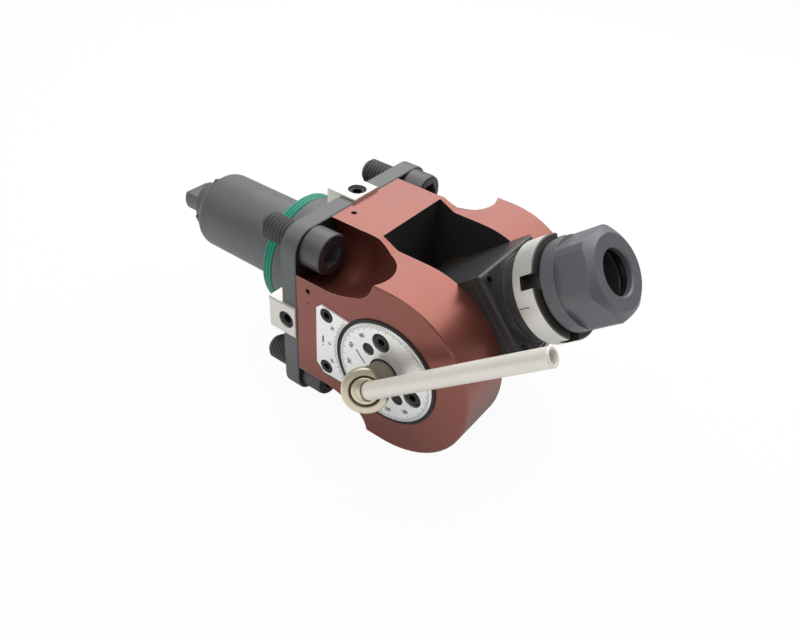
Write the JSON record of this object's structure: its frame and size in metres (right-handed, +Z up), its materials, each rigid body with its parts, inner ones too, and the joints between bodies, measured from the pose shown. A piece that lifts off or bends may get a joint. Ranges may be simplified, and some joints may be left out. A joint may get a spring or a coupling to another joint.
{
  "type": "angled driven tool holder",
  "caption": "Driven tool holder: a flanged shank carries a fork with a tilting head, a bevel-gear-driven collet spindle, an angle dial and a swivelling coolant tube.",
  "frame": {"origin": "centre of the flange's rear face, where it meets the turret, on the axis of the centring collar and shank", "axes": "+X forward along the drive shaft, from the shank to the fork; +Z up; the head tilts about an axis parallel to Y, with the dial and coolant tube on the -Y side"},
  "size_m": [0.2339, 0.1087, 0.1107],
  "materials": {
    "burnished_steel": "dark burnished, satin",
    "anodised_body": "red-brown anodised, satin",
    "seal_green": "smooth",
    "black_screws": "black oxide",
    "bright_keys": "ground and nickel plated",
    "dial_metal": "satin chrome",
    "bronze": "turned",
    "head_black": "black, satin",
    "cover_steel": "black oxide",
    "bearing_steel": "ground",
    "gear_steel": "hardened, machined",
    "seal_rubber": "smooth",
    "ring_steel": "turned, bright",
    "nut_steel": "blue-black oxide",
    "nozzle_gold": "nickel plated, polished",
    "tube_nickel": "nickel plated, polished"
  },
  "bodies": {
    "base": {"base_flange": "burnished_steel", "collar_seal": "seal_green", "fork_body": "anodised_body", "mounting_screws": "black_screws", "locating_keys": "bright_keys", "key_screws": "black_screws", "fork_fixing_screws": "black_screws", "port_plugs": "black_screws", "vernier_plate": "dial_metal", "vernier_screws": "black_screws", "dial_wiper_ring": "seal_rubber", "pivot_bushes": "bronze", "right_cover": "dial_metal", "right_cover_screws": "black_screws", "idler_axle": "gear_steel", "idler_washer": "gear_steel", "idler_screw": "black_screws", "drive_bearing_outers": "bearing_steel", "front_shaft_seal": "seal_rubber", "shank_end_nut": "burnished_steel", "rear_shaft_seal": "seal_rubber"},
    "drive": {"drive_shaft": "burnished_steel", "drive_bearing_inners": "bearing_steel", "drive_gear": "gear_steel", "drive_gear_washer": "gear_steel"},
    "idler": {"idler_gear": "gear_steel", "idler_bush": "bronze"},
    "head": {"head_housing": "head_black", "left_trunnion": "gear_steel", "right_trunnion": "gear_steel", "front_cap": "head_black", "front_cap_screws": "black_screws", "front_seal_cover": "cover_steel", "spindle_seal": "seal_rubber", "spindle_bearing_outers": "bearing_steel", "spindle_outer_spacer": "gear_steel", "dial": "dial_metal", "dial_screws": "black_screws", "dial_dowels": "black_screws", "nozzle_socket": "nozzle_gold"},
    "cages": {"spindle_bearing_cages": "bronze"},
    "spindle": {"spindle": "gear_steel", "spindle_bearing_inners": "bearing_steel", "spindle_inner_spacer": "gear_steel", "spindle_gear": "gear_steel", "spindle_gear_washer": "gear_steel", "spindle_nose_ring": "ring_steel"},
    "nut": {"collet_nut": "nut_steel", "extraction_ring": "bearing_steel"},
    "nozzle": {"nozzle_head": "nozzle_gold", "nozzle_snap_ring": "bearing_steel", "nozzle_tube": "tube_nickel"}
  },
  "joints": [
    {"name": "drive_spin", "type": "hinge", "parent": "base", "child": "drive", "pos_m": [0, 0, 0], "axis": [1, 0, 0], "continuous": true},
    {"name": "idler_spin", "type": "hinge", "parent": "base", "child": "idler", "pos_m": [0.0554, 0, 0], "axis": [0, 1, 0], "continuous": true},
    {"name": "head_tilt", "type": "hinge", "parent": "base", "child": "head", "pos_m": [0.0554, 0, 0], "axis": [0, -1, 0], "range_deg": [-130.5, 49.5]},
    {"name": "spindle_cage_roll", "type": "hinge", "parent": "head", "child": "cages", "pos_m": [0.0554, 0, 0], "axis": [0.7604, 0, 0.6494], "range_deg": [-75, 196]},
    {"name": "spindle_spin", "type": "hinge", "parent": "cages", "child": "spindle", "pos_m": [0.0554, 0, 0], "axis": [0.7604, 0, 0.6494], "continuous": true},
    {"name": "collet_nut_turn", "type": "hinge", "parent": "spindle", "child": "nut", "pos_m": [0.0554, 0, 0], "axis": [0.7604, 0, 0.6494], "continuous": true},
    {"name": "nozzle_swivel", "type": "hinge", "parent": "head", "child": "nozzle", "pos_m": [0.0554, 0, 0], "axis": [0, -1, 0], "range_deg": [-90, 90]}
  ],
  "couplings": [
    {"joint": "idler_spin", "follows": "drive_spin", "ratio": 0.66667},
    {"joint": "spindle_spin", "follows": "drive_spin", "ratio": -1},
    {"joint": "spindle_cage_roll", "follows": "head_tilt", "ratio": -1.5}
  ]
}
